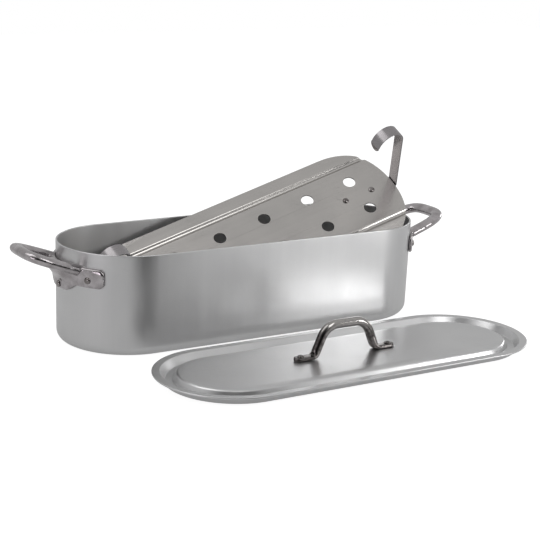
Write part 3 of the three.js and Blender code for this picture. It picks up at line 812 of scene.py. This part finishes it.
def perforation_tree():
    """Punches rows of round holes through a sheet."""
    tree, given = new_shape_group("punch_holes", [
        ("Sheet", "NodeSocketGeometry"), ("Columns", "NodeSocketInt"), ("Rows", "NodeSocketInt"),
        ("Pitch", "NodeSocketFloat"), ("Row Spacing", "NodeSocketFloat"),
        ("Middle", "NodeSocketVector"), ("Hole Radius", "NodeSocketFloat"),
        ("Finish", "NodeSocketMaterial"),
    ])
    spans = []
    for count, step in (("Columns", "Pitch"), ("Rows", "Row Spacing")):
        gaps = add_node(tree, "ShaderNodeMath", {0: given[count], 1: 1.0}, operation="SUBTRACT")
        spans.append(add_node(
            tree, "ShaderNodeMath", {0: gaps.outputs[0], 1: given[step]}, operation="MULTIPLY",
        ))
    grid = add_node(
        tree, "GeometryNodeMeshGrid",
        {
            "Size X": spans[0].outputs[0], "Size Y": spans[1].outputs[0],
            "Vertices X": given["Columns"], "Vertices Y": given["Rows"],
        },
    )
    spots = add_node(tree, "GeometryNodeMeshToPoints", {"Mesh": grid.outputs[0]})
    shifted = add_node(
        tree, "GeometryNodeTransform",
        {"Geometry": spots.outputs[0], "Translation": given["Middle"]},
    )
    punch = add_node(
        tree, "GeometryNodeMeshCylinder",
        {"Vertices": 64, "Radius": given["Hole Radius"], "Depth": punch_length},
    )
    punches = add_node(
        tree, "GeometryNodeInstanceOnPoints",
        {"Points": shifted.outputs[0], "Instance": punch.outputs["Mesh"]},
    )
    tools = add_node(tree, "GeometryNodeRealizeInstances", {"Geometry": punches.outputs[0]})
    cut = add_node(
        tree, "GeometryNodeMeshBoolean",
        {"Mesh 1": given["Sheet"], "Mesh 2": tools.outputs[0]}, operation="DIFFERENCE",
    )
    return end_shape_group(tree, cut.outputs[0], given["Finish"])


rack_aluminium = sheet_metal(
    "rack_aluminium",
    {"Light": (0.53, 0.51, 0.49, 1), "Dark": (0.45, 0.435, 0.42, 1),
     "Streak Scale": (6, 120, 120), "Streak Share": 0.3, "Smooth": 0.2, "Rough": 0.27},
    {"Scale": 34, "Amount": 0.6},
    bump=0.1,
)
rack_plate = rack_blank()
punch = rack_plate.modifiers.new("holes", "NODES")
punch.node_group = perforation_tree()
give_inputs(punch, {
    "Columns": hole_columns, "Rows": hole_rows, "Pitch": hole_pitch,
    "Row Spacing": hole_row_spacing, "Middle": (hole_shift, 0, 0), "Hole Radius": hole_radius,
    "Finish": rack_aluminium,
})
rounding = rack_plate.modifiers.new("worn_edges", "BEVEL")
rounding.width = rack_arris
rounding.segments = 2
rounding.limit_method = "ANGLE"
rounding.angle_limit = math.radians(50)
rack_plate = baked(rack_plate, "rack_plate_sheet")


def with_flat_faces(piece, degrees, name):
    """The piece with its large faces shaded flat up to the small ones along their edges."""
    sharpen(piece, degrees)
    flats = piece.modifiers.new("flats", "WEIGHTED_NORMAL")
    flats.keep_sharp = True
    return baked(piece, name)


rack_plate = with_flat_faces(rack_plate, 30, "rack_plate_sheet")
settle(rack_plate, rack_place)
mount(rack_plate, rack_aluminium, "rack", "rack_aluminium", "rack_plate")


# Rack hooks. A strip of duller aluminium at each end, its tongue riveted under the rack. It turns
# up at the rack's end, leans in a little and curls back over at the top, for lifting.

hook_half_width = 10 * mm
hook_sheet = 2 * mm
right_hook_height = 116 * mm
left_hook_height = 108 * mm
hook_curl = 22.9 * mm
hook_tail = 4 * mm
tip_half_width = 0.6 * mm
hook_lean = math.radians(5)
hook_bend_inside = 1.5 * mm
hook_tongue = 106 * mm
hook_rivet_insets = (40 * mm, 90 * mm)


def strip_ring(point, along, half_width, half_thick):
    """A strip's section, with its four long edges broken."""
    normal = Vector((-along.y, along.x))
    a = min(rack_arris, half_width * 0.5)
    corners = [(1, 1 - a / half_thick), (1 - a / half_width, 1)]
    outline = corners + [(-u, v) for u, v in reversed(corners)]
    outline += [(-u, -v) for u, v in corners] + [(u, -v) for u, v in reversed(corners)]
    ring = []
    for u, v in outline:
        at = point + normal * (half_thick * v)
        ring.append(Vector((at.x, half_width * u, at.y)))
    return ring


def hook(hook_height):
    """The right end's strip, from its tongue to its tip, both of which are cut round."""
    tongue = -rack_sheet - seat - hook_sheet / 2
    foot = Vector((rack_half_length + hook_bend_inside + hook_sheet / 2, tongue))
    up = Vector((-math.sin(hook_lean), math.cos(hook_lean)))
    inward = Vector((-up.y, up.x))

    def at(height, inset):
        return tuple(foot + up * height + inward * inset)

    top = hook_height + hook_curl
    curl_radius = hook_curl - 0.01 * mm  # a hair less, so that its two arcs don't meet
    path = rounded([
        (rack_half_length - hook_tongue, tongue),
        (foot.x, foot.y, hook_bend_inside + hook_sheet / 2),
        (*at(top, 0), curl_radius),
        (*at(top, 2 * hook_curl), curl_radius),
        at(hook_height - hook_tail, 2 * hook_curl),
    ], 20)
    path = supported(path, path_step)
    tip = (path[-2] - path[-1]).normalized()
    start = (path[1] - path[0]).normalized()
    rounds = [hook_half_width * (1 - math.cos(math.pi / 2 * i / 9)) for i in range(10)]
    stations = [(path[0] + start * d, d) for d in rounds]
    stations += [
        (p, None) for p in path[1:-1]
        if (p - path[0]).length > hook_half_width and (p - path[-1]).length > hook_half_width
    ]
    stations += [(path[-1] + tip * d, d) for d in reversed(rounds)]
    points = [p for p, _ in stations]
    rings = []
    for i, (point, from_end) in enumerate(stations):
        along = (points[min(i + 1, len(points) - 1)] - points[max(i - 1, 0)]).normalized()
        width = hook_half_width
        if from_end is not None:
            width = math.sqrt(max(width ** 2 - (width - from_end) ** 2, tip_half_width ** 2))
        rings.append(strip_ring(point, along, width, hook_sheet / 2))
    return loft("hook", rings)


hook_aluminium = sheet_metal(
    "hook_aluminium",
    {"Light": (0.36, 0.342, 0.352, 1), "Dark": (0.29, 0.277, 0.283, 1),
     "Streak Scale": (6, 120, 120), "Streak Share": 0.3, "Smooth": 0.22, "Rough": 0.3},
    {"Scale": 34, "Amount": 0.6},
    bump=0.1,
)
right_hook = with_flat_faces(hook(right_hook_height), 50, "right_hook_strip")
left_hook = with_flat_faces(hook(left_hook_height), 50, "left_hook_strip")
settle(right_hook, rack_place)
settle(left_hook, rack_place @ half_turn)
mount(right_hook, hook_aluminium, "rack", "rack_aluminium", "right_hook")
mount(left_hook, hook_aluminium, "rack", "rack_aluminium", "left_hook")


# Rack rivets. Two at each end, through the rack and the hook's tongue, with their domed heads on
# top. They are of the same soft aluminium as the handles' rivets.

rack_rivet_places = [
    (Vector((side * (rack_half_length - inset), 0, 0)), (0, -math.pi / 2, 0))
    for side in (1, -1) for inset in hook_rivet_insets
]
rack_rivets = set_rivets(
    "rack_rivets", rivet_form("rack_rivet_form", rack_sheet + seat + hook_sheet),
    rack_rivet_places, rivet_metal_painted_dark,
)
settle(rack_rivets, rack_place)
mount(
    rack_rivets, rivet_metal_painted_dark, "rack", "rack_aluminium",
    *[f"{side}_hook_rivet_{place}" for side in ("left", "right") for place in ("outer", "inner")],
)


# Lid. A shallow oval lid pressed from aluminium sheet: a flat flange that rests on the pan's rim,
# a groove that drops inside the rim, and a raised panel. It lies on the table in front.

lid_half_width = 110 * mm
lid_sheet = 2.5 * mm
lid_height = 14 * mm
lid_panel = 13.2 * mm
groove_floor = 2.5 * mm
panel_middle = 60 * mm
panel_crown = 0.9 * mm  # from the panel's shoulder up to its flat
lid_spot = Vector((39.6, -242.7, 0)) * mm
lid_turn = math.radians(0.4)
lid_place = Matrix.Translation(lid_spot) @ Matrix.Rotation(lid_turn, 4, "Z")


def lid_profile():
    """The sheet's section: its upper side from the edge inwards, and its under side outwards."""
    def from_edge(inset, z, radius=0):
        return (lid_half_width - inset * mm, z, radius * mm)

    top = [
        from_edge(0, lid_height, 0.9), from_edge(11.5, lid_height, 1.5),
        from_edge(18.6, groove_floor, 1.6), from_edge(29, groove_floor, 2),
        from_edge(34.6, lid_panel - panel_crown, 5), from_edge(44, lid_panel, 30),
    ]
    under = [
        from_edge(47, lid_panel - lid_sheet, 30),
        from_edge(37.6, lid_panel - panel_crown - lid_sheet, 3),
        from_edge(31.4, 0, 3), from_edge(16.4, 0, 2.6),
        from_edge(9.6, lid_height - lid_sheet, 0.8), from_edge(0, lid_height - lid_sheet, 0.9),
    ]
    corners = [(panel_middle, lid_panel - lid_sheet)] + under + top + [(panel_middle, lid_panel)]
    return supported(rounded(corners), mm)


lid = loft("lid", [oval(pan_half_straight, p.x, p.y) for p in lid_profile()])
settle(lid, lid_place)
lid_aluminium = sheet_metal(
    "lid_aluminium",
    {"Light": satin_light, "Dark": satin_dark, "Streak Scale": (5, 80, 80), "Streak Share": 0.4,
     "Smooth": 0.28, "Rough": 0.37},
    {"Scale": 24, "Amount": 0.25},
    bump=0.12,
)
mount(lid, lid_aluminium, "lid", "spun_aluminium", "lid_shell")


# Lid handle. A bow of round steel bar, bent to a trapezium, its ends pressed flat into feet. It is
# dark and polished, with a painted highlight on top. A rivet through each foot holds it to the lid.

bow_radius = 6.8 * mm
bow_top = 46 * mm
bow_top_half = 34 * mm
bow_base_half = 53 * mm
bow_top_radius = 28 * mm
bow_foot_radius = 8 * mm
bow_flat_start = 49 * mm
bow_flat_length = 7 * mm
foot_end = 86 * mm
foot_round = 8 * mm
foot_blunt = 0.4 * mm
foot_half_width = 8 * mm
foot_half_thick = 2.5 * mm
foot_rivet = 76 * mm
bow_shift = -6 * mm
bow_step = 2 * mm
bow_sides = 32
foot_squareness = 0.45
# The heights over which the bar's painted highlight lightens it towards its top.
bow_sheen_from = 32 * mm
bow_sheen_to = 52 * mm


def bow():
    """The bar along its bends, from one foot to the other, its section flattened at the feet."""
    half = [
        (foot_end, foot_half_thick), (bow_base_half, foot_half_thick, bow_foot_radius),
        (bow_top_half, bow_top, bow_top_radius),
    ]
    corners = [(-x, *rest) for x, *rest in half] + half[::-1]
    path = rounded(corners, 16)
    straight = []
    for a, b in zip(path, path[1:]):
        steps = max(1, round((b - a).length / bow_step))
        straight += [a.lerp(b, i / steps) for i in range(steps)]
    path = straight + [path[-1]]
    rings = []
    for i, point in enumerate(path):
        along = (path[min(i + 1, len(path) - 1)] - path[max(i - 1, 0)]).normalized()
        flat = smooth_step((abs(point.x) - bow_flat_start) / bow_flat_length)
        into = max(foot_round - (foot_end - abs(point.x)), 0) / (foot_round + foot_blunt)
        half_width = (bow_radius + (foot_half_width - bow_radius) * flat) * math.sqrt(1 - into ** 2)
        half_thick = bow_radius + (foot_half_thick - bow_radius) * flat
        power = 1 + (foot_squareness - 1) * flat
        ring = []
        for s in range(bow_sides):
            a = 2 * math.pi * (s + 0.5) / bow_sides
            across = half_width * math.copysign(abs(math.cos(a)) ** power, math.cos(a))
            up = half_thick * math.copysign(abs(math.sin(a)) ** power, math.sin(a))
            ring.append(Vector((point.x - along.y * up, across, point.y + along.x * up)))
        rings.append(ring)
    return loft("bow", rings)


def dark_steel_finish():
    """Dark steel with a rippled polish, darker spots and a painted highlight that lightens its top.
    """
    material, tree, metal, place = bare_metal("dark_steel")
    ripple = add_node(tree, "ShaderNodeTexNoise", {"Vector": place, "Scale": 45, "Detail": 1.5})
    stain = add_node(tree, "ShaderNodeTexNoise", {"Vector": place, "Scale": 160, "Detail": 5})
    spots = add_node(
        tree, "ShaderNodeMapRange", {"Value": stain.outputs[0], "From Min": 0.35, "From Max": 0.7},
    )
    color = add_node(
        tree, "ShaderNodeMix",
        {0: spots.outputs[0], 6: (0.2, 0.185, 0.18, 1), 7: (0.07, 0.064, 0.062, 1)},
        data_type="RGBA",
    )
    # Painted highlight: the bar's colour grows lighter towards its top, standing in for the light
    # that falls there.
    height = add_node(tree, "ShaderNodeSeparateXYZ", {"Vector": place}).outputs["Z"]
    wear_and_sheen = add_node(
        tree, "ShaderNodeMapRange",
        {"Value": height, "From Min": bow_sheen_from, "From Max": bow_sheen_to, "To Max": 0.6},
    )
    color = add_node(
        tree, "ShaderNodeMix",
        {0: wear_and_sheen.outputs[0], 6: color.outputs[2], 7: (0.56, 0.545, 0.53, 1)}, data_type="RGBA",
    )
    rough = add_node(
        tree, "ShaderNodeMapRange", {"Value": stain.outputs[0], "To Min": 0.05, "To Max": 0.2},
    )
    bump = add_node(
        tree, "ShaderNodeBump", {"Height": ripple.outputs[0], "Strength": 0.5, "Distance": 2 * mm},
    )
    finish_metal(tree, metal, color.outputs[2], rough.outputs[0], bump.outputs[0])
    return material


dark_steel = dark_steel_finish()
bow_place = lid_place @ Matrix.Translation((bow_shift, 0, lid_panel + seat))
lid_bow = bow()
settle(lid_bow, bow_place)
mount(lid_bow, dark_steel, "lid", "dark_steel", "lid_handle")


# Lid rivets. One rivet of the same dark steel goes through each foot of the handle and the lid,
# with its domed head on top and its tail under the lid.

foot_thickness = 2 * foot_half_thick
lid_rivet_places = [
    (Vector((side * foot_rivet, 0, foot_thickness)), (0, -math.pi / 2, 0)) for side in (1, -1)
]
lid_rivets = set_rivets(
    "lid_rivets", rivet_form("lid_rivet_form", foot_thickness + seat + lid_sheet),
    lid_rivet_places, dark_steel,
)
settle(lid_rivets, bow_place)
mount(lid_rivets, dark_steel, "lid", "dark_steel", "lid_rivet_left", "lid_rivet_right")


# Table. A plain paper-covered studio table. It shows the object's soft shadow and is white beyond
# it, and the metal mirrors it.

paper_grey = (0.32, 0.32, 0.32, 1)
paper_seen = 0.9  # added for the camera, which makes the ground white
paper_mirrored = 0.37  # added where metal mirrors the table


def table_finish():
    material = bpy.data.materials.new("table_white")
    material.use_nodes = True
    tree = material.node_tree
    tree.nodes.clear()
    rays = tree.nodes.new("ShaderNodeLightPath")
    paper = add_node(tree, "ShaderNodeBsdfDiffuse", {"Color": paper_grey})
    seen = add_node(
        tree, "ShaderNodeMath", {0: rays.outputs["Is Camera Ray"], 1: paper_seen},
        operation="MULTIPLY",
    )
    mirrored = add_node(
        tree, "ShaderNodeMath",
        {0: rays.outputs["Is Glossy Ray"], 1: paper_mirrored, 2: seen.outputs[0]},
        operation="MULTIPLY_ADD",
    )
    glow = add_node(tree, "ShaderNodeEmission", {"Strength": mirrored.outputs[0]})
    both = add_node(tree, "ShaderNodeAddShader", {0: paper.outputs[0], 1: glow.outputs[0]})
    out = tree.nodes.new("ShaderNodeOutputMaterial")
    tree.links.new(both.outputs[0], out.inputs["Surface"])
    return material


bpy.ops.mesh.primitive_plane_add(size=8, location=(0, 0, -seat))
table = bpy.context.object
table.name = "table"
table.data.materials.append(table_finish())


# Studio. A pale room, dark towards the front left, with five soft lamps: one in front, one high at
# the left, and three low ones at the left, the right front and the right. A dark card gives the
# pan's wall its dark band.

card_place = (-0.17, -0.46, 0.16)
card_size = (0.3, 0.34, 1)
card_black = (0.03, 0.03, 0.03, 1)
room_low = 0.55
room_high = 0.66
dark_side = (-0.5, -0.82, 0.28)


def soft_light(name, place, target, width, height, radiance):
    """A rectangular lamp of that radiance, which the camera doesn't see."""
    lamp = bpy.data.lights.new(name, "AREA")
    lamp.shape = "RECTANGLE"
    lamp.size = width
    lamp.size_y = height
    lamp.energy = radiance * math.pi * width * height
    light = bpy.data.objects.new(name, lamp)
    bpy.context.collection.objects.link(light)
    light.location = place
    light.rotation_euler = (Vector(target) - Vector(place)).to_track_quat("-Z", "Y").to_euler()
    light.visible_camera = False
    return light


soft_light("front", (0.02, -1.35, 1.4), (0, 0, 0.15), 0.7, 1.2, 2.5)
soft_light("overhead_left", (-0.85, 0.2, 1.5), (0.1, 0, 0.2), 0.8, 1.2, 1.5)
left_light = soft_light("left", (-1.7, -0.6, 0.35), (-0.3, -0.05, 0.1), 0.6, 0.4, 2.6)
left_light.data.color = (1, 0.93, 1)
soft_light("right_front", (0.66, -0.8, 0.22), (0.15, -0.15, 0.05), 0.28, 0.27, 7.2)
soft_light("right", (1.8, 0.22, 0.3), (-0.2, 0.08, 0.14), 0.6, 0.4, 4)

card_material = bpy.data.materials.new("dark_card")
card_material.use_nodes = True
card_shader = card_material.node_tree.nodes["Principled BSDF"]
card_shader.inputs["Base Color"].default_value = card_black
bpy.ops.mesh.primitive_plane_add(size=1, location=card_place, rotation=(math.pi / 2, 0, 0))
card = bpy.context.object
card.name = "dark_card"
card.scale = card_size
card.visible_camera = False
card.visible_diffuse = False
card.visible_shadow = False
card.data.materials.append(card_material)

world = bpy.data.worlds.new("studio")
bpy.context.scene.world = world
world.use_nodes = True
sky = world.node_tree
sky.nodes.clear()
direction = add_node(sky, "ShaderNodeTexCoord").outputs["Generated"]
height = add_node(sky, "ShaderNodeSeparateXYZ", {0: direction}).outputs["Z"]
level = add_node(
    sky, "ShaderNodeMapRange",
    {"Value": height, "From Min": -0.1, "From Max": 0.9, "To Min": room_low, "To Max": room_high},
)
towards_dark = add_node(
    sky, "ShaderNodeVectorMath", {0: direction, 1: dark_side}, operation="DOT_PRODUCT",
)
dim = add_node(
    sky, "ShaderNodeMapRange",
    {
        "Value": towards_dark.outputs["Value"], "From Min": 0.6, "From Max": 0.92,
        "To Min": 1, "To Max": 0.06,
    },
)
room = add_node(
    sky, "ShaderNodeMath", {0: level.outputs[0], 1: dim.outputs[0]}, operation="MULTIPLY",
)
rays = sky.nodes.new("ShaderNodeLightPath")
seen = add_node(
    sky, "ShaderNodeMix", {0: rays.outputs["Is Camera Ray"], 2: room.outputs[0], 3: 1.0},
)
background = add_node(
    sky, "ShaderNodeBackground", {"Color": (1, 1, 1, 1), "Strength": seen.outputs[0]},
)
world_out = sky.nodes.new("ShaderNodeOutputWorld")
sky.links.new(background.outputs[0], world_out.inputs["Surface"])


# Camera. It stands at the left and in front, above the rim, and looks a little down along the pan,
# as the one that took the photograph did.

camera_place = Vector((-1.1448, -1.8886, 0.6630))
right = Vector((0.8487, -0.5275, 0.0380)).normalized()
forward = Vector((0.5188, 0.8164, -0.2538)).normalized()
up = right.cross(forward).normalized()
right = forward.cross(up)
lens = bpy.data.cameras.new("camera")
lens.lens = 98.2
lens.sensor_width = 36
camera = bpy.data.objects.new("camera", lens)
bpy.context.collection.objects.link(camera)
camera.matrix_world = Matrix((
    (right.x, up.x, -forward.x, camera_place.x),
    (right.y, up.y, -forward.y, camera_place.y),
    (right.z, up.z, -forward.z, camera_place.z),
    (0, 0, 0, 1),
))
scene = bpy.context.scene
scene.camera = camera
scene.view_settings.view_transform = "Standard"
